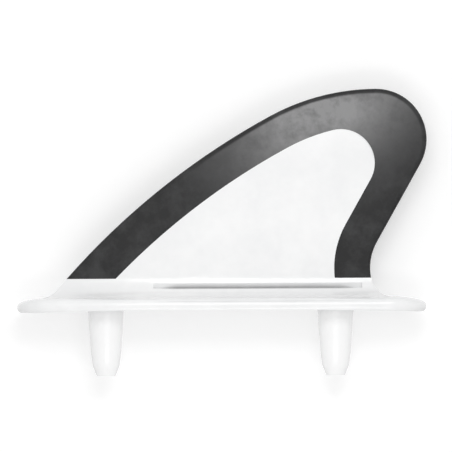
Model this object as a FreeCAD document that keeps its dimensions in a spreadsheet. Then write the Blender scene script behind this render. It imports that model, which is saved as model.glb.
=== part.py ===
import FreeCAD, Part
import math
import os
import Sketcher

# A soft-edged surfboard fin for a bolt-through board, in millimetres.
# X runs along the board with the leading edge at -X, Y is across it and +Z is up the blade.
# The origin is on the base's underside, midway between the two posts.

doc = FreeCAD.newDocument("SurfboardFin")

# Driving dimensions: word, value
driving = [
    # Base that lies against the board's bottom
    ("base_length", 165.0),
    ("base_middle", 0.45),
    ("base_width", 34.0),
    ("base_side_bulge", 1.5),
    ("base_height", 4.5),
    ("base_end_drop", 1.4),
    ("base_rim_round", 3.0),
    ("base_foot_round", 2.0),
    # Outline of the blade, seen from the side
    ("front_ledge", 13.35),
    ("rear_ledge", 22.55),
    ("tip_overhang", 0.45),
    ("leading_radius", 300.0),
    ("crown_radius", 90.0),
    ("crown_height", 88.4),
    ("tip_radius", 20.4),
    ("heel_radius", 21.5),
    ("heel_height", 16.061295),
    ("blade_sink", 2.5),
    # Foil, thickest along a sloping spine
    ("spine_angle", 47.0),
    ("spine_foot", -6.0),
    ("foil_thickness", 7.5),
    ("foil_taper", 0.88),
    ("foil_run_out", 12.6738),
    ("root_wall_height", 14.5),
    ("root_wall_lap", 2.0),
    ("root_fillet", 9.0),
    ("root_clearance", 0.8),
    # Undercut line along both sides of the root
    ("groove_start", -27.0),
    ("groove_end", 57.0),
    ("groove_height", 8.3),
    ("groove_opening", 2.0),
    ("groove_depth", 0.5),
    ("groove_lean", 27.0),
    # Soft edge moulded over the blade's rim
    ("band_width", 14.6),
    ("band_corner_radius", 13.6),
    ("band_foot_height", 12.2),
    ("band_rim_radius", 1.3),
    ("band_inner_thickness", 5.0),
    ("band_overlap", 4.0),
    # Tongue of the core inside the soft edge, and the holes that the soft edge fills
    ("tongue_thickness", 1.6),
    ("tongue_margin", 6.0),
    ("tongue_root", 4.0),
    ("anchor_diameter", 4.0),
    ("anchor_depth", 10.3),
    ("anchor_pitch", 28.0),
    # Posts that pass through the board
    ("post_spacing", 92.6),
    ("post_length", 27.0),
    ("post_sink", 1.5),
    ("post_root_diameter", 14.8),
    ("post_shoulder_diameter", 12.2),
    ("post_shoulder_depth", 17.5),
    ("post_nose_diameter", 10.8),
    ("post_nose_depth", 22.8),
    ("post_end_diameter", 7.4),
    # Threaded insert moulded into each post
    ("insert_diameter", 7.4),
    ("insert_length", 12.0),
    ("insert_cover", 7.0),
    ("insert_bore", 5.0),
    ("insert_mouth_chamfer", 0.4),
    ("screw_clearance_bore", 5.6),
    ("screw_overrun", 9.0),
]

sheet = doc.addObject("Spreadsheet::Sheet", "Sizes")
for row, (word, value) in enumerate(driving, start=1):
    sheet.set(f"A{row}", word)
    sheet.set(f"B{row}", str(value))
    sheet.setAlias(f"B{row}", word)
doc.recompute()
os.makedirs("parts", exist_ok=True)


def size(word):
    return float(sheet.get(word))


def worked(formula):
    return float(sheet.evalExpression(formula))


# Where the blade stands on the base, from the base's two ends

leadingFoot = "(Sizes.base_middle - Sizes.base_length / 2 + Sizes.front_ledge)"
waistPlace = "(Sizes.base_middle + Sizes.base_length / 2 - Sizes.rear_ledge)"
tipReach = "(Sizes.base_middle + Sizes.base_length / 2 + Sizes.tip_overhang)"


# Drawing helpers

def addBody(name):
    body = doc.addObject("PartDesign::Body", name)
    body.Label = name
    return body


def originPlane(body, role):
    return [f for f in body.Origin.OriginFeatures if f.Role == role][0]


def addSketch(body, name, role):
    sketch = body.newObject("Sketcher::SketchObject", name)
    sketch.AttachmentSupport = (originPlane(body, role), [""])
    sketch.MapMode = "FlatFace"
    return sketch


def drive(sketch, expression, kind, *items):
    # Adds a constraint whose value follows a formula of the driving dimensions.
    value = sketch.evalExpression(expression)
    if kind == "Angle":
        value = value.getValueAs("rad").Value
    index = sketch.addConstraint(Sketcher.Constraint(kind, *items, float(value)))
    sketch.setExpression(f"Constraints[{index}]", expression)


def place(sketch, item, point, across, along):
    # Puts a point of the sketch at two worked-out distances from the sketch's origin.
    drive(sketch, across, "DistanceX", -1, 1, item, point)
    drive(sketch, along, "DistanceY", -1, 1, item, point)


def vector(x, y):
    return FreeCAD.Vector(x, y, 0)


def addLine(sketch, start, end, construction=False):
    return sketch.addGeometry(Part.LineSegment(start, end), construction)


def addArc(sketch, centre, start, end, construction=False):
    # An arc from start to end, kept in that order whichever way it turns.
    first = math.atan2(start.y - centre.y, start.x - centre.x)
    last = math.atan2(end.y - centre.y, end.x - centre.x)
    if last < first:
        last += 2 * math.pi
    circle = Part.Circle(centre, FreeCAD.Vector(0, 0, 1), start.distanceToPoint(centre))
    return sketch.addGeometry(Part.ArcOfCircle(circle, first, last), construction)


def padBoth(body, sketch, expression):
    # A pad of the given full thickness, half on each side of the sketch.
    pad = body.newObject("PartDesign::Pad", body.Label + "Pad")
    pad.Profile = sketch
    pad.SideType = "Symmetric"
    pad.setExpression("Length", expression)
    return pad


# Outline of the blade: a long leading arc, a crown arc, the tip, a straight trailing
# edge and the hollow heel arc. An inset moves every one of them inwards by the same amount.

def outlineCentres():
    # Where the arcs' centres lie, worked out from their tangencies.
    crown = vector(worked(tipReach) - size("tip_radius"), size("crown_height") - size("crown_radius"))
    tip = vector(crown.x, size("crown_height") - size("tip_radius"))
    heel = vector(worked(waistPlace) + size("heel_radius"), size("heel_height"))
    # The trailing edge is the straight line that touches the tip and the heel on opposite sides
    apart = heel.sub(tip)
    lean = math.atan2(-apart.y, apart.x) - math.acos((size("tip_radius") + size("heel_radius")) / apart.Length)
    outward = vector(math.cos(lean), -math.sin(lean))
    foot = vector(worked(leadingFoot), size("base_height"))
    gap = crown.sub(foot)
    span = gap.Length
    outer = size("leading_radius")
    inner = outer - size("crown_radius")
    along = (outer ** 2 - inner ** 2 + span ** 2) / (2 * span)
    aside = math.sqrt(outer ** 2 - along ** 2)
    unit = gap.multiply(1 / span)
    leading = foot.add(vector(unit.x * along + unit.y * aside, unit.y * along - unit.x * aside))
    return leading, crown, tip, heel, outward


def onCircle(centre, radius, direction):
    return centre.add(vector(direction.x, direction.y).multiply(radius / direction.Length))


def atHeight(centre, radius, height):
    # The point of a circle's left half at a height.
    rise = height - centre.y
    return vector(centre.x - math.sqrt(radius ** 2 - rise ** 2), height)


def addOutline(sketch, bottom, construction=False):
    # The blade's outline down to a level. Returns its five pieces in order.
    leading, crown, tip, heel, outward = outlineCentres()
    height = float(sketch.evalExpression(bottom))
    shoulder = onCircle(leading, size("leading_radius"), crown.sub(leading))
    top = vector(tip.x, size("crown_height"))
    tipEnd = onCircle(tip, size("tip_radius"), outward)
    heelStart = onCircle(heel, size("heel_radius"), outward.negative())
    front = addArc(sketch, leading, shoulder, atHeight(leading, size("leading_radius"), height), construction)
    back = addArc(sketch, crown, top, shoulder, construction)
    end = addArc(sketch, tip, tipEnd, top, construction)
    trailing = addLine(sketch, heelStart, tipEnd, construction)
    hollow = addArc(sketch, heel, heelStart, atHeight(heel, size("heel_radius"), height), construction)
    foot = sketch.addGeometry(Part.Point(vector(worked(leadingFoot), size("base_height"))), True)
    for pair in ((front, 1, back, 2), (back, 1, end, 2), (end, 1, trailing, 2), (trailing, 1, hollow, 1)):
        sketch.addConstraint(Sketcher.Constraint("Tangent", *pair))
    sketch.addConstraint(Sketcher.Constraint("Vertical", back, 3, back, 1))
    drive(sketch, "Sizes.leading_radius", "Radius", front)
    drive(sketch, "Sizes.crown_radius", "Radius", back)
    drive(sketch, "Sizes.tip_radius", "Radius", end)
    drive(sketch, "Sizes.heel_radius", "Radius", hollow)
    place(sketch, end, 3, f"{tipReach} - Sizes.tip_radius", "Sizes.crown_height - Sizes.tip_radius")
    place(sketch, hollow, 3, f"{waistPlace} + Sizes.heel_radius", "Sizes.heel_height")
    # The leading arc meets the top of the base at the leading foot
    place(sketch, foot, 1, leadingFoot, "Sizes.base_height")
    sketch.addConstraint(Sketcher.Constraint("PointOnObject", foot, 1, front))
    drive(sketch, bottom, "DistanceY", -1, 1, front, 2)
    drive(sketch, bottom, "DistanceY", -1, 1, hollow, 2)
    return front, back, end, trailing, hollow


def addInset(sketch, inset, corner, bottom, construction=False):
    # The outline moved inwards by an inset, with a corner radius of its own at the tip.
    outer = addOutline(sketch, "Sizes.base_height", True)
    leading, crown, tip, heel, outward = outlineCentres()
    step = float(sketch.evalExpression(inset))
    cornerRadius = float(sketch.evalExpression(corner))
    height = float(sketch.evalExpression(bottom))
    leadingR = size("leading_radius") - step
    crownR = size("crown_radius") - step
    heelR = size("heel_radius") + step
    across = heel.dot(outward) - heelR - cornerRadius - crown.dot(outward)
    upward = math.sqrt((crownR - cornerRadius) ** 2 - across ** 2)
    centre = crown.add(vector(outward.x * across - outward.y * upward, outward.y * across + outward.x * upward))
    shoulder = onCircle(leading, leadingR, crown.sub(leading))
    cornerStart = onCircle(crown, crownR, centre.sub(crown))
    cornerEnd = onCircle(centre, cornerRadius, outward)
    heelStart = onCircle(heel, heelR, outward.negative())
    front = addArc(sketch, leading, shoulder, atHeight(leading, leadingR, height), construction)
    back = addArc(sketch, crown, cornerStart, shoulder, construction)
    end = addArc(sketch, centre, cornerEnd, cornerStart, construction)
    trailing = addLine(sketch, heelStart, cornerEnd, construction)
    hollow = addArc(sketch, heel, heelStart, atHeight(heel, heelR, height), construction)
    for pair in ((front, 3, outer[0], 3), (back, 3, outer[1], 3), (hollow, 3, outer[4], 3)):
        sketch.addConstraint(Sketcher.Constraint("Coincident", *pair))
    for pair in ((front, 1, back, 2), (back, 1, end, 2), (end, 1, trailing, 2), (trailing, 1, hollow, 1)):
        sketch.addConstraint(Sketcher.Constraint("Tangent", *pair))
    sketch.addConstraint(Sketcher.Constraint("Parallel", trailing, outer[3]))
    drive(sketch, f"Sizes.crown_radius - {inset}", "Radius", back)
    drive(sketch, f"Sizes.heel_radius + {inset}", "Radius", hollow)
    drive(sketch, corner, "Radius", end)
    drive(sketch, bottom, "DistanceY", -1, 1, front, 2)
    drive(sketch, bottom, "DistanceY", -1, 1, hollow, 2)
    return front, back, end, trailing, hollow


def closeBottom(sketch, pieces):
    # A straight line from the foot of the leading edge to the foot of the trailing edge.
    points = [sketch.getPoint(pieces[0], 2), sketch.getPoint(pieces[4], 2)]
    line = addLine(sketch, *points)
    sketch.addConstraint(Sketcher.Constraint("Coincident", line, 1, pieces[0], 2))
    sketch.addConstraint(Sketcher.Constraint("Coincident", line, 2, pieces[4], 2))


# Picking edges and faces by where they lie

def near(shape, point):
    return shape.distToShape(Part.Vertex(point))[0] < 1e-4


def middle(edge):
    return edge.valueAt((edge.FirstParameter + edge.LastParameter) / 2)


def pickEdges(shape, wanted):
    return [f"Edge{i}" for i, edge in enumerate(shape.Edges, start=1) if wanted(edge)]


def roundEdges(name, base, wanted, radius):
    # A body that starts from another shape and rounds the wanted edges of it.
    body = addBody(name)
    body.BaseFeature = base
    doc.recompute()
    fillet = body.newObject("PartDesign::Fillet", name + "Fillet")
    fillet.Base = (body.Group[0], pickEdges(base.Shape, wanted))
    fillet.setExpression("Radius", radius)
    doc.recompute()
    return body


def combine(kind, name, base, tool):
    result = doc.addObject(kind, name)
    result.Base = base
    result.Tool = tool
    doc.recompute()
    return result


# Base: a long oval slab whose underside is hollowed to the board's bottom

slab = addBody("BaseSlab")
planSketch = addSketch(slab, "BaseOval", "XY_Plane")
endR = size("base_width") / 2 - size("base_side_bulge")
reach = size("base_length") / 2 - endR
sideR = (reach ** 2 + (size("base_width") / 2) ** 2 - endR ** 2) / (size("base_width") - 2 * endR)
midX = size("base_middle")
tiltOver = math.atan2(reach, sideR - size("base_width") / 2)
cornerX = endR * math.sin(tiltOver)
cornerY = endR * math.cos(tiltOver)
corners = [vector(midX + sx * (reach + cornerX), sy * cornerY) for sx, sy in ((1, -1), (1, 1), (-1, 1), (-1, -1))]
rearEnd = addArc(planSketch, vector(midX + reach, 0), corners[0], corners[1])
leftSide = addArc(planSketch, vector(midX, size("base_width") / 2 - sideR), corners[1], corners[2])
frontEnd = addArc(planSketch, vector(midX - reach, 0), corners[2], corners[3])
rightSide = addArc(planSketch, vector(midX, sideR - size("base_width") / 2), corners[3], corners[0])
ring = (rearEnd, leftSide, frontEnd, rightSide)
for k in range(4):
    planSketch.addConstraint(Sketcher.Constraint("Tangent", ring[k], 2, ring[(k + 1) % 4], 1))
planSketch.addConstraint(Sketcher.Constraint("PointOnObject", rearEnd, 3, -1))
planSketch.addConstraint(Sketcher.Constraint("PointOnObject", frontEnd, 3, -1))
planSketch.addConstraint(Sketcher.Constraint("Equal", rearEnd, frontEnd))
planSketch.addConstraint(Sketcher.Constraint("Equal", leftSide, rightSide))
drive(planSketch, "Sizes.base_width / 2 - Sizes.base_side_bulge", "Radius", rearEnd)
halfReach = "Sizes.base_length / 2 - Sizes.base_width / 2 + Sizes.base_side_bulge"
drive(planSketch, f"Sizes.base_middle + {halfReach}", "DistanceX", -1, 1, rearEnd, 3)
drive(planSketch, f"Sizes.base_middle - ({halfReach})", "DistanceX", -1, 1, frontEnd, 3)
sidePoint = planSketch.addGeometry(Part.Point(vector(midX, size("base_width") / 2)), True)
place(planSketch, sidePoint, 1, "Sizes.base_middle", "Sizes.base_width / 2")
planSketch.addConstraint(Sketcher.Constraint("PointOnObject", sidePoint, 1, leftSide))
slabPad = slab.newObject("PartDesign::Pad", "BaseSlabPad")
slabPad.Profile = planSketch
slabPad.SideType = "Two sides"
slabPad.setExpression("Length", "Sizes.base_height")
slabPad.setExpression("Length2", "Sizes.base_end_drop")
doc.recompute()


def roundRim(feature, name, level, radius):
    # Rounds the oval edges of the slab at a height.
    fillet = slab.newObject("PartDesign::Fillet", name)
    fillet.Base = (feature, pickEdges(feature.Shape, lambda edge: abs(middle(edge).z - level) < 0.001))
    fillet.setExpression("Radius", radius)
    doc.recompute()
    return fillet


topRound = roundRim(slabPad, "BaseTopRound", size("base_height"), "Sizes.base_rim_round")
roundRim(topRound, "BaseFootRound", -size("base_end_drop"), "Sizes.base_foot_round")
bowRadius = "((Sizes.base_length / 2) ^ 2 / Sizes.base_end_drop + Sizes.base_end_drop) / 2"
drum = doc.addObject("Part::Cylinder", "BowDrum")
drum.Placement = FreeCAD.Placement(FreeCAD.Vector(), FreeCAD.Rotation(FreeCAD.Vector(1, 0, 0), -90))
drum.setExpression("Radius", bowRadius)
drum.setExpression("Height", "2 * Sizes.base_width")
drum.setExpression("Placement.Base.x", "Sizes.base_middle")
drum.setExpression("Placement.Base.y", "-Sizes.base_width")
drum.setExpression("Placement.Base.z", f"-({bowRadius})")
doc.recompute()
base = combine("Part::Cut", "Base", slab, drum)

# Foil: what two large drums share, whose axes run along the spine and lean together

tilt = "tan(Sizes.foil_taper * 1 deg)"
spineCos = "cos(Sizes.spine_angle * 1 deg)"
spineSin = "sin(Sizes.spine_angle * 1 deg)"

# The foil would thin to nothing a little way outside the blade's root, measured across the spine
rootLength = "(Sizes.base_length - Sizes.front_ledge - Sizes.rear_ledge)"
foilHalf = f"({rootLength} / 2 * {spineSin} + Sizes.foil_run_out)"
drumRadius = f"(({foilHalf} ^ 2 + (Sizes.foil_thickness / 2) ^ 2) / Sizes.foil_thickness)"


def addFoilDrum(name, side):
    # The drum whose wall is one side of the foil: side is 1 or -1, across the blade.
    start = "Sizes.base_length"
    aside = f"(Sizes.foil_thickness / 2 - {drumRadius} / cos(Sizes.foil_taper * 1 deg) + {start} * {tilt})"
    point = f"vector(Sizes.spine_foot - {start} * {spineCos}; {side} * {aside}; -{start} * {spineSin})"
    turn = f"rotation(0; 90 - Sizes.spine_angle; {side} * Sizes.foil_taper)"
    drum = doc.addObject("Part::Cylinder", name)
    drum.setExpression("Placement", f"placement({point}; {turn})")
    drum.setExpression("Radius", drumRadius)
    drum.setExpression("Height", "3 * Sizes.base_length")
    return drum


leftDrum = addFoilDrum("LeftFoilDrum", 1)
rightDrum = addFoilDrum("RightFoilDrum", -1)

# Root walls: an upright lens that takes over from the foil near the base, so that the hollow
# fillet there is a plain one. It is as thick as the foil is at the height where they meet.

peakAside = f"({drumRadius} * {tilt} * {spineCos} / {spineSin})"
peakAlong = f"((Sizes.root_wall_height - {peakAside} * {spineCos}) / {spineSin})"
peakX = f"(Sizes.spine_foot + (Sizes.root_wall_height * {spineCos} - {peakAside}) / {spineSin})"
peakHalf = (
    f"(Sizes.foil_thickness / 2 - {peakAlong} * {tilt}"
    f" - {peakAside} ^ 2 / (2 * {drumRadius}))"
)
lensRadius = f"({drumRadius} / {spineSin} ^ 2)"


def addLens(body, name, half, radius):
    # Two arcs that meet in points at the front and rear, mirror images across the blade.
    sketch = addSketch(body, name, "XY_Plane")
    x, thick, reach = (float(sketch.evalExpression(formula)) for formula in (peakX, half, radius))
    chord = math.sqrt(reach ** 2 - (reach - thick) ** 2)
    ends = [vector(x - chord, 0), vector(x + chord, 0)]
    left = addArc(sketch, vector(x, thick - reach), ends[1], ends[0])
    right = addArc(sketch, vector(x, reach - thick), ends[0], ends[1])
    sketch.addConstraint(Sketcher.Constraint("Coincident", left, 2, right, 1))
    sketch.addConstraint(Sketcher.Constraint("Coincident", right, 2, left, 1))
    sketch.addConstraint(Sketcher.Constraint("Equal", left, right))
    sketch.addConstraint(Sketcher.Constraint("PointOnObject", left, 1, -1))
    sketch.addConstraint(Sketcher.Constraint("PointOnObject", right, 1, -1))
    drive(sketch, radius, "Radius", left)
    place(sketch, left, 3, peakX, f"{half} - {radius}")
    return sketch


rootWalls = addBody("RootWalls")
lensSketch = addLens(rootWalls, "RootLens", peakHalf, lensRadius)
lensPad = rootWalls.newObject("PartDesign::Pad", "RootWallsPad")
lensPad.Profile = lensSketch
lensPad.setExpression("Length", "Sizes.root_wall_height + Sizes.root_wall_lap")
aboveRoot = doc.addObject("Part::Box", "AboveRoot")
aboveRoot.setExpression("Length", "2 * Sizes.base_length")
aboveRoot.setExpression("Width", "2 * Sizes.base_width")
aboveRoot.setExpression("Height", "Sizes.base_length")
aboveRoot.setExpression("Placement.Base.x", "-Sizes.base_length")
aboveRoot.setExpression("Placement.Base.y", "-Sizes.base_width")
aboveRoot.setExpression("Placement.Base.z", "Sizes.root_wall_height + Sizes.root_wall_lap")
doc.recompute()

# Blade: the foil and the root walls, cut to the outline

bladePlan = addBody("BladePlan")
bladeSketch = addSketch(bladePlan, "BladeOutline", "XZ_Plane")
bladeBottom = "Sizes.base_height - Sizes.blade_sink"
closeBottom(bladeSketch, addOutline(bladeSketch, bladeBottom))
padBoth(bladePlan, bladeSketch, "2 * Sizes.foil_thickness")
doc.recompute()
rootLimits = combine("Part::Fuse", "RootLimits", rootWalls, aboveRoot)
blade = doc.addObject("Part::MultiCommon", "Blade")
blade.Shapes = [bladePlan, leftDrum, rightDrum, rootLimits]
doc.recompute()


# Whole outer form: blade and base in one, with a hollow fillet where they meet

joined = combine("Part::Fuse", "Joined", base, blade)


def onRoot(edge):
    # Edges that lie on both the blade and the base.
    point = middle(edge)
    return near(blade.Shape, point) and near(base.Shape, point)


# The fillet stays on the flat of the base, between the root walls and the rounded rim
rootRoom = f"Sizes.base_width / 2 - Sizes.base_rim_round - {peakHalf} - Sizes.root_clearance"
rooted = roundEdges("Rooted", joined, onRoot, f"min(Sizes.root_fillet; {rootRoom})")

# Undercut line: a fine shadow gap in the fillet on both sides, whose back wall leans inwards
# on the way down and follows the root walls

grooveCore = addBody("GrooveCore")
grooveHalf = f"({peakHalf} - Sizes.groove_depth)"
grooveSketch = addLens(grooveCore, "GrooveLens", grooveHalf, f"({lensRadius} - Sizes.groove_depth)")
grooveSketch.setExpression("AttachmentOffset.Base.z", "Sizes.groove_height")
grooveCorePad = grooveCore.newObject("PartDesign::Pad", "GrooveCorePad")
grooveCorePad.Profile = grooveSketch
grooveCorePad.setExpression("Length", "Sizes.groove_opening")
grooveCorePad.setExpression("TaperAngle", "Sizes.groove_lean")
grooveSpace = doc.addObject("Part::Box", "GrooveSpace")
grooveSpace.setExpression("Length", "Sizes.groove_end - Sizes.groove_start")
grooveSpace.setExpression("Width", "Sizes.base_width")
grooveSpace.setExpression("Height", "Sizes.groove_opening")
grooveSpace.setExpression("Placement.Base.x", "Sizes.groove_start")
grooveSpace.setExpression("Placement.Base.y", "-Sizes.base_width / 2")
grooveSpace.setExpression("Placement.Base.z", "Sizes.groove_height")
doc.recompute()
grooves = combine("Part::Cut", "Grooves", grooveSpace, grooveCore)
fin = combine("Part::Cut", "Fin", rooted, grooves)

# What the rigid core keeps of that form: the panel inside the band, and all below its feet

panelPlan = addBody("PanelPlan")
panelSketch = addSketch(panelPlan, "PanelOutline", "XZ_Plane")
footLine = "Sizes.band_foot_height"
inner = addInset(panelSketch, "Sizes.band_width", "Sizes.band_corner_radius", footLine)
far = size("base_length")
footZ = size("band_foot_height")
cornersBelow = [vector(-far, footZ), vector(-far, -far), vector(far, -far), vector(far, footZ)]
path = [panelSketch.getPoint(inner[0], 2)] + cornersBelow + [panelSketch.getPoint(inner[4], 2)]
below = [addLine(panelSketch, path[i], path[i + 1]) for i in range(5)]
panelSketch.addConstraint(Sketcher.Constraint("Coincident", inner[0], 2, below[0], 1))
panelSketch.addConstraint(Sketcher.Constraint("Coincident", below[4], 2, inner[4], 2))
for k in range(4):
    panelSketch.addConstraint(Sketcher.Constraint("Coincident", below[k], 2, below[k + 1], 1))
place(panelSketch, below[0], 2, "-Sizes.base_length", footLine)
place(panelSketch, below[1], 2, "-Sizes.base_length", "-Sizes.base_length")
place(panelSketch, below[2], 2, "Sizes.base_length", "-Sizes.base_length")
place(panelSketch, below[3], 2, "Sizes.base_length", footLine)
padBoth(panelPlan, panelSketch, "2 * Sizes.base_width")
doc.recompute()

# Tongue of the core that the soft edge is moulded around, with a row of anchor holes

tongue = addBody("Tongue")
tongueSketch = addSketch(tongue, "TongueOutline", "XZ_Plane")
tongueCorner = "Sizes.tip_radius - Sizes.tongue_margin"
tongueFoot = "Sizes.band_foot_height - Sizes.tongue_root"
closeBottom(tongueSketch, addInset(tongueSketch, "Sizes.tongue_margin", tongueCorner, tongueFoot))
padBoth(tongue, tongueSketch, "Sizes.tongue_thickness")
doc.recompute()


def anchorRows():
    # Where the anchor holes' centres lie: along the leading arc, the crown arc and the trailing line.
    leading, crown, tip, heel, outward = outlineCentres()
    depth = size("anchor_depth")
    pitch = size("anchor_pitch")
    shoulder = onCircle(leading, size("leading_radius") - depth, crown.sub(leading))
    start = atHeight(leading, size("leading_radius") - depth, size("band_foot_height") + pitch)
    points = []
    for centre, radius, first, last in (
        (leading, size("leading_radius") - depth, start, shoulder),
        (crown, size("crown_radius") - depth, shoulder, vector(crown.x, size("crown_height") - depth)),
    ):
        begin = math.atan2(first.y - centre.y, first.x - centre.x)
        turn = begin - math.atan2(last.y - centre.y, last.x - centre.x)
        count = int(turn * radius / pitch)
        for k in range(count):
            angle = begin - k * pitch / radius
            points.append(centre.add(vector(math.cos(angle), math.sin(angle)).multiply(radius)))
    upper = onCircle(tip, size("tip_radius") - depth, outward)
    lower = onCircle(heel, size("heel_radius") + depth, outward.negative())
    along = lower.sub(upper)
    for k in range(1 + int(along.Length / pitch)):
        points.append(upper.add(vector(along.x, along.y).multiply(k * pitch / along.Length)))
    return points


holeSketch = addSketch(tongue, "AnchorHoles", "XZ_Plane")
holes = []
for point in anchorRows():
    circle = Part.Circle(point, FreeCAD.Vector(0, 0, 1), size("anchor_diameter") / 2)
    holes.append(holeSketch.addGeometry(circle, False))
for hole in holes[1:]:
    holeSketch.addConstraint(Sketcher.Constraint("Equal", holes[0], hole))
for hole in holes:
    holeSketch.addConstraint(Sketcher.Constraint("Block", hole))
drive(holeSketch, "Sizes.anchor_diameter", "Diameter", holes[0])
anchors = tongue.newObject("PartDesign::Pocket", "AnchorPocket")
anchors.Profile = holeSketch
anchors.SideType = "Symmetric"
anchors.setExpression("Length", "2 * Sizes.tongue_thickness")
doc.recompute()

# Soft edge: a band with a round rim swept along the outline, and a flat web inside it that fills
# the tip's corner, less the core and its tongue

band = addBody("Band")
pathSketch = addSketch(band, "BandPath", "XZ_Plane")
addOutline(pathSketch, bladeBottom)
bandSketch = addSketch(band, "BandSection", "YZ_Plane")
bandSketch.setExpression("AttachmentOffset.Base.z", f"{tipReach} - Sizes.tip_radius")
doc.recompute()
rimZ = size("crown_height") - size("band_rim_radius")
rimR = size("band_rim_radius")
inner = vector(size("band_inner_thickness") / 2, size("crown_height") - size("band_width") - size("band_overlap"))
rimCentre = vector(0, rimZ)
toInner = inner.sub(rimCentre)
lean = math.acos(rimR / toInner.Length) + math.atan2(toInner.y, toInner.x)
touch = vector(rimR * math.cos(lean), rimR * math.sin(lean))
rightTouch = rimCentre.add(touch)
leftTouch = rimCentre.add(vector(-touch.x, touch.y))
innerLeft = vector(-inner.x, inner.y)
rimArc = addArc(bandSketch, rimCentre, rightTouch, leftTouch)
leftSide = addLine(bandSketch, leftTouch, innerLeft)
innerSide = addLine(bandSketch, innerLeft, inner)
rightSide = addLine(bandSketch, inner, rightTouch)
bandSketch.addConstraint(Sketcher.Constraint("Tangent", rimArc, 2, leftSide, 1))
bandSketch.addConstraint(Sketcher.Constraint("Tangent", rightSide, 2, rimArc, 1))
bandSketch.addConstraint(Sketcher.Constraint("Coincident", leftSide, 2, innerSide, 1))
bandSketch.addConstraint(Sketcher.Constraint("Coincident", innerSide, 2, rightSide, 1))
bandSketch.addConstraint(Sketcher.Constraint("Symmetric", leftSide, 2, rightSide, 1, -2))
bandSketch.addConstraint(Sketcher.Constraint("PointOnObject", rimArc, 3, -2))
drive(bandSketch, "Sizes.band_rim_radius", "Radius", rimArc)
drive(bandSketch, "Sizes.crown_height - Sizes.band_rim_radius", "DistanceY", -1, 1, rimArc, 3)
place(bandSketch, rightSide, 1, "Sizes.band_inner_thickness / 2", "Sizes.crown_height - Sizes.band_width - Sizes.band_overlap")
sweep = band.newObject("PartDesign::AdditivePipe", "BandSweep")
sweep.Profile = bandSketch
sweep.Spine = (pathSketch, ["Edge1", "Edge2", "Edge3", "Edge4", "Edge5"])
doc.recompute()
web = addBody("BandWeb")
webSketch = addSketch(web, "BandWebOutline", "XZ_Plane")
webInset = "(Sizes.band_width + Sizes.band_overlap)"
closeBottom(webSketch, addInset(webSketch, webInset, f"Sizes.tip_radius - {webInset}", footLine))
padBoth(web, webSketch, "Sizes.band_inner_thickness")
doc.recompute()
fullBand = combine("Part::Fuse", "FullBand", band, web)
softBlank = combine("Part::Cut", "SoftBlank", fullBand, panelPlan)
softEdge = combine("Part::Cut", "SoftEdge", softBlank, tongue)

# Posts: tapered to a shoulder, then to a nose and a small flat end


def revolveProfile(name, place_, points):
    # A body turned about an upright line at a distance along the base. A point is (radius, height),
    # each as a formula.
    body = addBody(name)
    sketch = addSketch(body, name + "Profile", "XZ_Plane")
    centre = float(sketch.evalExpression(place_))
    spots = [vector(centre + float(sketch.evalExpression(r)), float(sketch.evalExpression(z))) for r, z in points]
    count = len(spots)
    sides = [addLine(sketch, spots[k], spots[(k + 1) % count]) for k in range(count)]
    for k in range(count):
        after = (k + 1) % count
        sketch.addConstraint(Sketcher.Constraint("Coincident", sides[k], 2, sides[after], 1))
        place(sketch, sides[k], 2, f"{place_} + {points[after][0]}", points[after][1])
    axis = addLine(sketch, vector(centre, spots[0].y + 1), vector(centre, spots[0].y + 2), True)
    place(sketch, axis, 1, place_, f"{points[0][1]} + 1")
    place(sketch, axis, 2, place_, f"{points[0][1]} + 2")
    turned = body.newObject("PartDesign::Revolution", name + "Turned")
    turned.Profile = sketch
    turned.ReferenceAxis = (sketch, ["Axis0"])
    turned.Angle = 360
    doc.recompute()
    return body


def addPost(name, place_):
    return revolveProfile(name, place_, [
        ("0", "Sizes.post_sink"),
        ("Sizes.post_root_diameter / 2", "Sizes.post_sink"),
        ("Sizes.post_root_diameter / 2", "0"),
        ("Sizes.post_shoulder_diameter / 2", "-Sizes.post_shoulder_depth"),
        ("Sizes.post_nose_diameter / 2", "-Sizes.post_nose_depth"),
        ("Sizes.post_end_diameter / 2", "-Sizes.post_length"),
        ("0", "-Sizes.post_length"),
    ])


insertMouth = "-(Sizes.post_length - Sizes.insert_cover)"
insertTop = f"({insertMouth} + Sizes.insert_length)"


def addInsertSeat(name, place_):
    # The hollow in a post: the insert's form, room for the screw's end above it and its way in below.
    return revolveProfile(name, place_, [
        ("0", f"{insertTop} + Sizes.screw_overrun"),
        ("Sizes.screw_clearance_bore / 2", f"{insertTop} + Sizes.screw_overrun"),
        ("Sizes.screw_clearance_bore / 2", insertTop),
        ("Sizes.insert_diameter / 2", insertTop),
        ("Sizes.insert_diameter / 2", insertMouth),
        ("Sizes.screw_clearance_bore / 2", insertMouth),
        ("Sizes.screw_clearance_bore / 2", "-Sizes.post_length - 1"),
        ("0", "-Sizes.post_length - 1"),
    ])


def addInsert(name, place_):
    bore = "Sizes.insert_bore / 2"
    return revolveProfile(name, place_, [
        (bore, insertTop),
        ("Sizes.insert_diameter / 2", insertTop),
        ("Sizes.insert_diameter / 2", insertMouth),
        (f"{bore} + Sizes.insert_mouth_chamfer", insertMouth),
        (bore, f"{insertMouth} + Sizes.insert_mouth_chamfer"),
    ])


frontPlace = "(-Sizes.post_spacing / 2)"
rearPlace = "(Sizes.post_spacing / 2)"
posts = [addPost("FrontPost", frontPlace), addPost("RearPost", rearPlace)]
seats = [addInsertSeat("FrontSeat", frontPlace), addInsertSeat("RearSeat", rearPlace)]
frontInsert = addInsert("FrontInsert", frontPlace)
rearInsert = addInsert("RearInsert", rearPlace)

# Core: panel, root, base, tongue and posts in one moulding

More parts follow.
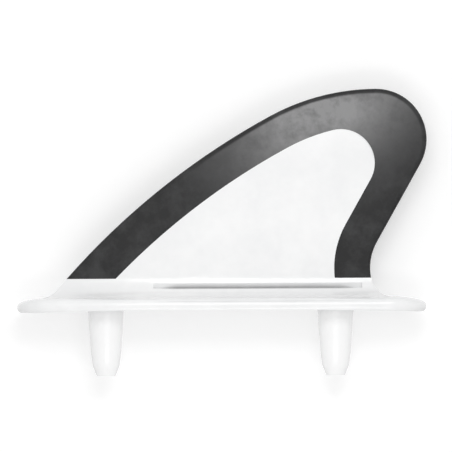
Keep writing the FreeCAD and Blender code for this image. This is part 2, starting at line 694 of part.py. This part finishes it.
panel = combine("Part::Common", "Panel", fin, panelPlan)
moulding = doc.addObject("Part::MultiFuse", "Moulding")
moulding.Shapes = [panel, tongue] + posts
doc.recompute()
hollow = doc.addObject("Part::MultiFuse", "Seats")
hollow.Shapes = seats
doc.recompute()
core = combine("Part::Cut", "Core", moulding, hollow)

# Each kept piece, by the name of its file

pieces = {
    "core": core,
    "soft_edge": softEdge,
    "front_insert": frontInsert,
    "rear_insert": rearInsert,
}
for name, piece in pieces.items():
    piece.Label = name
doc.recompute()

for item in doc.Objects:
    if "Invalid" in item.State or "Error" in item.State:
        raise RuntimeError(f"{item.Name} did not build: {item.State}")
for name, piece in pieces.items():
    shape = piece.Shape
    if shape.isNull() or not shape.isValid() or len(shape.Solids) != 1:
        raise RuntimeError(f"{name} is not one valid solid")

for name, piece in pieces.items():
    piece.Shape.exportStep(f"parts/{name}.step")
    box = piece.Shape.BoundBox
    print(f"{name}: {piece.Shape.Volume:.0f} mm3, {box.XLength:.1f} x {box.YLength:.1f} x {box.ZLength:.1f} mm")
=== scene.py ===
import math

import bmesh
import bpy
from mathutils import Matrix, Vector


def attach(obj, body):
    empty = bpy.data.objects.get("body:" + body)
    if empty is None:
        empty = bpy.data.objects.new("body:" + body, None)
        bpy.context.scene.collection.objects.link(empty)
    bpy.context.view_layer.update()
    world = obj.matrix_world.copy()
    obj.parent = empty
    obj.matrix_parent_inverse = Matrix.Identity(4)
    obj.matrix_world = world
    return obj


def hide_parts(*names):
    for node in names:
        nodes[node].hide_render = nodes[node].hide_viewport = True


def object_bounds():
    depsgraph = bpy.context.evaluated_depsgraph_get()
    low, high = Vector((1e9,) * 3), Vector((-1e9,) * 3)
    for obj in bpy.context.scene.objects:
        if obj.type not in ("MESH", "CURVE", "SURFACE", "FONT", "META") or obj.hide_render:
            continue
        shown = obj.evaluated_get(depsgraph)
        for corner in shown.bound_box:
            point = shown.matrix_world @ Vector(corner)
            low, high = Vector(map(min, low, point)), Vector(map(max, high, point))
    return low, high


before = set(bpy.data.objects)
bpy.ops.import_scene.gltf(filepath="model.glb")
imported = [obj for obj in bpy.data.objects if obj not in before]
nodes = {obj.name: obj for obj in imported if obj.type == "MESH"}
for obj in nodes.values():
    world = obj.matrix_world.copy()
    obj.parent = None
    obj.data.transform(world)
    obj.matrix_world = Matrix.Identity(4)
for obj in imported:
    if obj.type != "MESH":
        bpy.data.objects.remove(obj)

cadLow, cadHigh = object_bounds()
print("frame: the packed fin is", [round(v * 1000, 1) for v in cadHigh - cadLow], "mm")


class Wire:
    # A shader socket that can stand in a formula: 1 - mask adds its own Math node

    def __init__(self, finish, socket):
        self.finish = finish
        self.socket = socket

    def maths(self, operation, *values):
        settings = {"operation": operation}
        return self.finish.node("ShaderNodeMath", settings, dict(enumerate(values)))

    def __add__(self, other):
        return self.maths("ADD", self, other)

    def __radd__(self, other):
        return self.maths("ADD", other, self)

    def __sub__(self, other):
        return self.maths("SUBTRACT", self, other)

    def __rsub__(self, other):
        return self.maths("SUBTRACT", other, self)

    def __mul__(self, other):
        return self.maths("MULTIPLY", self, other)

    def __rmul__(self, other):
        return self.maths("MULTIPLY", other, self)

    def __abs__(self):
        return self.maths("ABSOLUTE", self)

    def root(self):
        return self.maths("SQRT", self)


class Finish:
    # A material or world tree, and the one way to add a node to it

    def __init__(self, name, owner=None):
        self.owner = owner or bpy.data.materials.new(name)
        self.owner.use_nodes = True
        self.tree = self.owner.node_tree
        self.tree.nodes.clear()

    def node(self, kind, settings=None, inputs=None, output=0):
        made = self.tree.nodes.new(kind)
        for word, value in (settings or {}).items():
            if word == "stops":
                for stop, (level, grey) in zip(made.color_ramp.elements, value):
                    stop.position = level
                    stop.color = (grey, grey, grey, 1)
            else:
                setattr(made, word, value)
        for key, value in (inputs or {}).items():
            if isinstance(value, Wire):
                self.tree.links.new(value.socket, made.inputs[key])
            else:
                made.inputs[key].default_value = value
        return Wire(self, made.outputs[output]) if made.outputs else None

    def place(self):
        return self.node("ShaderNodeTexCoord", output="Object")

    def axes(self, place):
        # The three coordinates of a place, by letter
        return {
            letter: self.node("ShaderNodeSeparateXYZ", inputs={0: place}, output=k)
            for k, letter in enumerate("xyz")
        }

    def spread(self, value, nought, full):
        # 0 to 1 while a value goes from one level to another, with soft ends
        return self.node(
            "ShaderNodeMapRange",
            {"interpolation_type": "SMOOTHSTEP"},
            {0: value, 1: nought, 2: full, 3: 0.0, 4: 1.0},
        )

    def noise(self, place, scale, detail=2.0, roughness=0.5):
        # A cloud of 0 to 1; the scale counts its lumps in a metre
        return self.node(
            "ShaderNodeTexNoise",
            inputs={"Vector": place, "Scale": scale, "Detail": detail, "Roughness": roughness},
        )

    def ramp(self, value, nought, full):
        # As spread, but in a straight line
        stops = ((nought, 0.0), (full, 1.0))
        return self.node("ShaderNodeValToRGB", {"stops": stops}, {0: value})

    def mix(self, factor, first, second):
        # Between two colours
        sockets = {0: factor, 6: first, 7: second}
        return self.node("ShaderNodeMix", {"data_type": "RGBA"}, sockets, output=2)

    def bump(self, height, strength, distance, normal=None):
        inputs = {"Height": height, "Strength": strength, "Distance": distance}
        if normal:
            inputs["Normal"] = normal
        return self.node("ShaderNodeBump", inputs=inputs)

    def surface(self, inputs):
        shader = self.node("ShaderNodeBsdfPrincipled", inputs=inputs)
        self.node("ShaderNodeOutputMaterial", inputs={"Surface": shader})
        return self.owner


def between(factor, levels):
    # From one number to another as a shader's factor goes from 0 to 1
    low, high = levels
    return low + factor * (high - low)


def droopEnds(shape, settings):
    # Thins the base's two ends from above, so that they fall away to their tips
    for vert in shape.verts:
        outward = abs(vert.co.x - settings["middle"]) - settings["droopFrom"]
        reach = outward / settings["droopLength"]
        above = vert.co.z - settings["droopLevel"]
        if reach > 0 and 0 < above < settings["droopHeight"]:
            vert.co.z -= above * settings["droop"] * reach ** 2


def smoothCopy(nodeName, pieceName, settings, finish):
    # A copy of a CAD node with its corners joined, smooth except at true edges
    mesh = nodes[nodeName].data.copy()
    mesh.materials.clear()
    mesh.materials.append(finish)
    shape = bmesh.new()
    shape.from_mesh(mesh)
    bmesh.ops.remove_doubles(shape, verts=shape.verts, dist=settings["mergeDistance"])
    if "droop" in settings:
        droopEnds(shape, settings)
    for face in shape.faces:
        face.smooth = True
    for edge in shape.edges:
        edge.smooth = edge.is_manifold and edge.calc_face_angle(0) < settings["sharpAngle"]
    shape.to_mesh(mesh)
    shape.free()
    piece = bpy.data.objects.new(pieceName, mesh)
    even = piece.modifiers.new("evenShading", "WEIGHTED_NORMAL")
    even.mode = "FACE_AREA"
    even.weight = settings["largeFaceWeight"]
    even.keep_sharp = True
    bpy.context.scene.collection.objects.link(piece)
    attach(piece, "root")
    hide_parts(nodeName)
    print(f"piece: {pieceName} has {len(mesh.polygons)} faces")


# Core: gloss white moulded plastic with a faint mottle, sink and pits. A grey line of painted
# shade lies in the shallow gap along the root, and a fainter painted reflection along the
# base's side.
# The posts' whiter colour is painted light. Lengths are in metres.

coreLook = {
    "mergeDistance": 2e-6,
    "sharpAngle": math.radians(28),
    "largeFaceWeight": 80,
    "middle": 0.00045,
    "droopFrom": 0.0685,
    "droopLength": 0.014,
    "droopLevel": 0.001,
    "droopHeight": 0.006,
    "droop": 0.52,
    "white": (0.925, 0.927, 0.928, 1),
    "shade": (0.872, 0.876, 0.88, 1),
    # painted light: the posts' whiter colour stands in for more light on them
    "paintedPostLight": (0.975, 0.976, 0.976, 1),
    "paintedPostLightLevels": (0.0, -0.003),
    "detail": 3,
    "cloudScale": 45,
    "wispScale": 240,
    "wispRoughness": 0.6,
    "cloudShare": 0.7,
    "mottleLevels": (0.38, 0.62),
    # painted shade: the grey of the line in the gap along the root
    "paintedGapShade": (0.54, 0.54, 0.545, 1),
    "gapLow": 0.0081,
    "gapHigh": 0.0104,
    "gapSoftness": 0.0002,
    "gapMiddle": 0.015,
    "gapHalf": 0.0425,
    "gapTaper": 0.011,
    "gapStrength": (0.75, 1.25),
    # painted reflection: a faint grey line along the base's side
    "paintedRimReflection": (0.0029, 0.0032, 0.0036),
    "paintedRimReflectionReach": (0.045, 0.03),
    "paintedRimReflectionFaint": 0.75,
    "roughness": (0.16, 0.26),
    "refraction": 1.5,
    "coat": 0.25,
    "coatRoughness": 0.08,
    "sinkStrength": 0.35,
    "sinkDistance": 0.00035,
    "pitScale": 6500,
    "pitStrength": 0.15,
    "pitDistance": 0.00001,
}


def glossPlastic(look):
    plastic = Finish("glossPlastic")
    place = plastic.place()
    spot = plastic.axes(place)
    clouds = plastic.noise(place, look["cloudScale"], look["detail"])
    wisps = plastic.noise(place, look["wispScale"], look["detail"], look["wispRoughness"])
    pits = plastic.noise(place, look["pitScale"])

    # The gap's line of painted shade has a crisp foot, and its top comes down to that at the
    # two tapered ends
    across = abs(spot["x"] - look["gapMiddle"])
    gapEnds = plastic.spread(across, look["gapHalf"], look["gapHalf"] - look["gapTaper"])
    gapReach = between(gapEnds, (look["gapLow"], look["gapHigh"]))
    gapTop = plastic.spread(spot["z"], gapReach, look["gapLow"] - look["gapSoftness"] / 2)
    gapFoot = plastic.spread(spot["z"], look["gapLow"] - look["gapSoftness"], look["gapLow"])
    gapPaintedShade = gapEnds * gapTop * gapFoot * between(wisps, look["gapStrength"])

    # The rim's line is a painted reflection, fainter, and clouded
    lineLow, lineMiddle, lineHigh = look["paintedRimReflection"]
    rimFoot = plastic.spread(spot["z"], lineLow, lineMiddle)
    rimTop = plastic.spread(spot["z"], lineHigh, lineMiddle)
    paintedRimReflection = rimFoot * rimTop * plastic.spread(across, *look["paintedRimReflectionReach"])
    # painted shade in the gap and a painted reflection along the rim, together
    paintedShadeAndReflection = gapPaintedShade + paintedRimReflection * clouds * look["paintedRimReflectionFaint"]

    # The mottle goes from white to its shade, and painted light makes the posts whiter than the
    # rest
    mixed = clouds * look["cloudShare"] + wisps * (1 - look["cloudShare"])
    mottle = plastic.ramp(mixed, *look["mottleLevels"])
    whites = plastic.mix(mottle, look["white"], look["shade"])
    paintedPostLightMask = plastic.spread(spot["z"], *look["paintedPostLightLevels"])
    whites = plastic.mix(paintedPostLightMask, whites, look["paintedPostLight"])
    sink = plastic.bump(clouds, look["sinkStrength"], look["sinkDistance"])
    return plastic.surface({
        "Base Color": plastic.mix(paintedShadeAndReflection, whites, look["paintedGapShade"]),
        "Roughness": between(wisps, look["roughness"]),
        "IOR": look["refraction"],
        "Coat Weight": look["coat"],
        "Coat Roughness": look["coatRoughness"],
        "Normal": plastic.bump(pits, look["pitStrength"], look["pitDistance"], sink),
    })


smoothCopy("core", "coreMoulding", coreLook, glossPlastic(coreLook))

# Soft edge: matt black rubber with a fine grain and bloom, and a painted sheen, pale and
# smeared, at its top, which lies along the leading edge and stops short of the rim

rubberLook = {
    "mergeDistance": 2e-6,
    "sharpAngle": math.radians(28),
    "largeFaceWeight": 80,
    "black": (0.0135, 0.0135, 0.014, 1),
    "bloom": (0.034, 0.034, 0.035, 1),
    "bloomLevels": (0.42, 0.66),
    "smearScale": 110,
    "smearDetail": 6,
    "smearRoughness": 0.65,
    # painted sheen: the pale colour of a softbox's reflection at the rubber's top
    "pale": (0.265, 0.265, 0.267, 1),
    "paintedSheenMiddle": (0.042, 0.087),
    "paintedSheenLean": math.radians(37),
    "paintedSheenStretch": (1.05, 1.5),
    "paintedSheenReach": (0.092, 0.004),
    "paintedSheenEven": 0.25,
    "paintedSheenSmeared": 3.0,
    "paintedSheenStreaks": 0.04,
    "edgeLine": (0.00137, 0.0013),
    "roughness": (0.42, 0.52),
    "refraction": 1.36,
    "swellStrength": 0.3,
    "swellDistance": 0.0002,
    "grainScale": 3800,
    "grainDetail": 3,
    "grainRoughness": 0.6,
    "grainStrength": 0.35,
    "grainDistance": 0.00002,
}


def mattRubber(look):
    rubber = Finish("mattRubber")
    place = rubber.place()
    spot = rubber.axes(place)
    grain = rubber.noise(place, look["grainScale"], look["grainDetail"], look["grainRoughness"])
    smear = rubber.noise(place, look["smearScale"], look["smearDetail"], look["smearRoughness"])

    # The painted sheen fades with the distance from its middle, along and off the edge's lean
    fromX = spot["x"] - look["paintedSheenMiddle"][0]
    fromZ = spot["z"] - look["paintedSheenMiddle"][1]
    leanCos, leanSin = math.cos(look["paintedSheenLean"]), math.sin(look["paintedSheenLean"])
    alongEdge = (fromX * leanCos + fromZ * leanSin) * look["paintedSheenStretch"][0]
    offEdge = (fromZ * leanCos - fromX * leanSin) * look["paintedSheenStretch"][1]
    away = (alongEdge * alongEdge + offEdge * offEdge).root()
    paintedSheen = rubber.spread(away + (smear - 0.5) * look["paintedSheenStreaks"], *look["paintedSheenReach"])
    inside = 1 - rubber.spread(abs(spot["y"]), *look["edgeLine"])
    smeared = smear * smear * look["paintedSheenSmeared"] + look["paintedSheenEven"]
    paintedSheen = paintedSheen * paintedSheen * inside * smeared

    bloom = rubber.ramp(smear, *look["bloomLevels"])
    darks = rubber.mix(bloom, look["black"], look["bloom"])
    swell = rubber.bump(smear, look["swellStrength"], look["swellDistance"])
    return rubber.surface({
        "Base Color": rubber.mix(paintedSheen, darks, look["pale"]),
        "Roughness": between(smear, look["roughness"]),
        "IOR": look["refraction"],
        "Normal": rubber.bump(grain, look["grainStrength"], look["grainDistance"], swell),
    })


smoothCopy("soft_edge", "softRim", rubberLook, mattRubber(rubberLook))

# Inserts: turned brass, with fine rings from the lathe. They keep the CAD's own shapes.

brassLook = {
    "bright": (0.78, 0.58, 0.3, 1),
    "dull": (0.6, 0.43, 0.2, 1),
    "tarnishScale": 900,
    "tarnishDetail": 3,
    "tarnishLevels": (0.4, 0.7),
    "roughness": (0.22, 0.42),
    "ringPitch": 0.00025,
    "ringWaver": 0.5,
    "ringStrength": 0.2,
    "ringDistance": 0.00002,
}
wavePitch = 0.31  # a wave texture's rings lie this far apart at a scale of 1


def turnedBrass(look):
    brass = Finish("turnedBrass")
    place = brass.place()
    scale = wavePitch / look["ringPitch"]
    rings = brass.node(
        "ShaderNodeTexWave",
        {"wave_type": "BANDS", "bands_direction": "Z"},
        {"Vector": place, "Scale": scale, "Distortion": look["ringWaver"]},
        output=1,
    )
    tarnish = brass.noise(place, look["tarnishScale"], look["tarnishDetail"])
    dullness = brass.ramp(tarnish, *look["tarnishLevels"])
    return brass.surface({
        "Base Color": brass.mix(dullness, look["bright"], look["dull"]),
        "Metallic": 1.0,
        "Roughness": between(tarnish, look["roughness"]),
        "Normal": brass.bump(rings, look["ringStrength"], look["ringDistance"]),
    })


brassFinish = turnedBrass(brassLook)
for name in ("front_insert", "rear_insert"):
    nodes[name].data.materials.clear()
    nodes[name].data.materials.append(brassFinish)
print("finishes: plastic, rubber and brass")

# Paper: a pale floor, and a backdrop just behind the base. The backdrop is white to the camera
# and keeps the soft shade round the fin. Seen from their rear sides, both are clear.

stageSizes = {
    "floorHeight": -0.2,
    "halfWidth": 3.0,
    "backdropGap": 0.0008,
}
paperLook = {
    "pale": (0.9, 0.9, 0.9, 1),
    "palest": (0.93, 0.93, 0.93, 1),
    "fibreScale": 2500,
    "glow": 0.17,
}


def addPaper(name, look, forCameraOnly):
    paper = Finish(name)
    fibre = paper.noise(paper.place(), look["fibreScale"])
    colour = paper.mix(fibre, look["pale"], look["palest"])
    matt = paper.node("ShaderNodeBsdfDiffuse", inputs={"Color": colour})
    toCamera = paper.node("ShaderNodeLightPath", output="Is Camera Ray")
    light = {"Color": (1, 1, 1, 1), "Strength": toCamera * look["glow"]}
    glow = paper.node("ShaderNodeEmission", inputs=light)
    shown = paper.node("ShaderNodeAddShader", inputs={0: matt, 1: glow})
    rearSide = paper.node("ShaderNodeNewGeometry", output="Backfacing")
    hidden = 1 - toCamera * (1 - rearSide) if forCameraOnly else rearSide
    clear = paper.node("ShaderNodeBsdfTransparent")
    shown = paper.node("ShaderNodeMixShader", inputs={0: hidden, 1: shown, 2: clear})
    paper.node("ShaderNodeOutputMaterial", inputs={"Surface": shown})
    return paper.owner


def addStage(name, turn, place, finish):
    # A large square, turned about X and moved to its place
    shape = bmesh.new()
    bmesh.ops.create_grid(shape, x_segments=1, y_segments=1, size=stageSizes["halfWidth"])
    bmesh.ops.rotate(shape, verts=shape.verts, matrix=Matrix.Rotation(turn, 3, "X"))
    bmesh.ops.translate(shape, verts=shape.verts, vec=place)
    mesh = bpy.data.meshes.new(name)
    shape.to_mesh(mesh)
    shape.free()
    mesh.materials.append(finish)
    piece = bpy.data.objects.new(name, mesh)
    bpy.context.scene.collection.objects.link(piece)


level, upright = 0.0, math.radians(90)
floorPlace = (0, 0, stageSizes["floorHeight"])
addStage("floor", level, floorPlace, addPaper("floorPaper", paperLook, False))
backdropPlace = (0, cadHigh.y + stageSizes["backdropGap"], 0)
addStage("backdrop", upright, backdropPlace, addPaper("backdropPaper", paperLook, True))
print("stage: floor and backdrop")

# World: plain white light from everywhere, pure white where it is seen or mirrored

skyLook = {"light": 0.8, "seen": 1.0}
sky = Finish("sky", bpy.data.worlds.new("sky"))
bpy.context.scene.world = sky.owner
seen = sky.node("ShaderNodeLightPath", output="Is Camera Ray")
mirrored = sky.node("ShaderNodeLightPath", output="Is Glossy Ray")
through = sky.node("ShaderNodeLightPath", output="Is Transmission Ray")
strength = between(seen + mirrored + through, (skyLook["light"], skyLook["seen"]))
white = sky.node("ShaderNodeBackground", inputs={"Color": (1, 1, 1, 1), "Strength": strength})
sky.node("ShaderNodeOutputWorld", inputs={"Surface": white})

# Softboxes: the main one in front and above, and a weaker one below it

keyBox = {
    "place": (0.04, -0.45, 0.22),
    "aim": (0.03, 0.0, 0.05),
    "size": (0.25, 0.14),
    "watts": 0.42,
}
lowBox = {
    "place": (0.04, -0.45, -0.13),
    "aim": (0.03, 0.0, 0.05),
    "size": (0.25, 0.06),
    "watts": 0.15,
}


def addSoftbox(name, settings):
    lamp = bpy.data.lights.new(name, "AREA")
    lamp.shape = "RECTANGLE"
    lamp.size, lamp.size_y = settings["size"]
    lamp.energy = settings["watts"]
    box = bpy.data.objects.new(name, lamp)
    box.location = settings["place"]
    aim = Vector(settings["aim"]) - Vector(settings["place"])
    box.rotation_euler = aim.to_track_quat("-Z", "Y").to_euler()
    bpy.context.scene.collection.objects.link(box)


addSoftbox("keyBox", keyBox)
addSoftbox("lowBox", lowBox)
print("light: white sky, a softbox above and a weaker one below")

# Camera: level with the fin and square to its side, far enough off for a flat view

cameraSizes = {
    "pixels": 452,
    "metresPerPixel": 0.00040342,
    "centreX": 0.0023,
    "centreZ": 0.0333,
    "distance": 1.6,
    "roll": math.radians(0.25),
    "sensor": 36.0,
    "clip": (0.1, 20),
}
view = bpy.data.cameras.new("view")
viewWidth = cameraSizes["pixels"] * cameraSizes["metresPerPixel"]
view.sensor_width = cameraSizes["sensor"]
view.lens = cameraSizes["sensor"] * cameraSizes["distance"] / viewWidth
view.clip_start, view.clip_end = cameraSizes["clip"]
camera = bpy.data.objects.new("view", view)
camera.location = (cameraSizes["centreX"], -cameraSizes["distance"], cameraSizes["centreZ"])
camera.rotation_euler = (upright, cameraSizes["roll"], 0)
bpy.context.scene.collection.objects.link(camera)
bpy.context.scene.camera = camera
bpy.context.scene.view_settings.view_transform = "Standard"
print("camera: a view", round(viewWidth * 1000, 1), "mm wide")
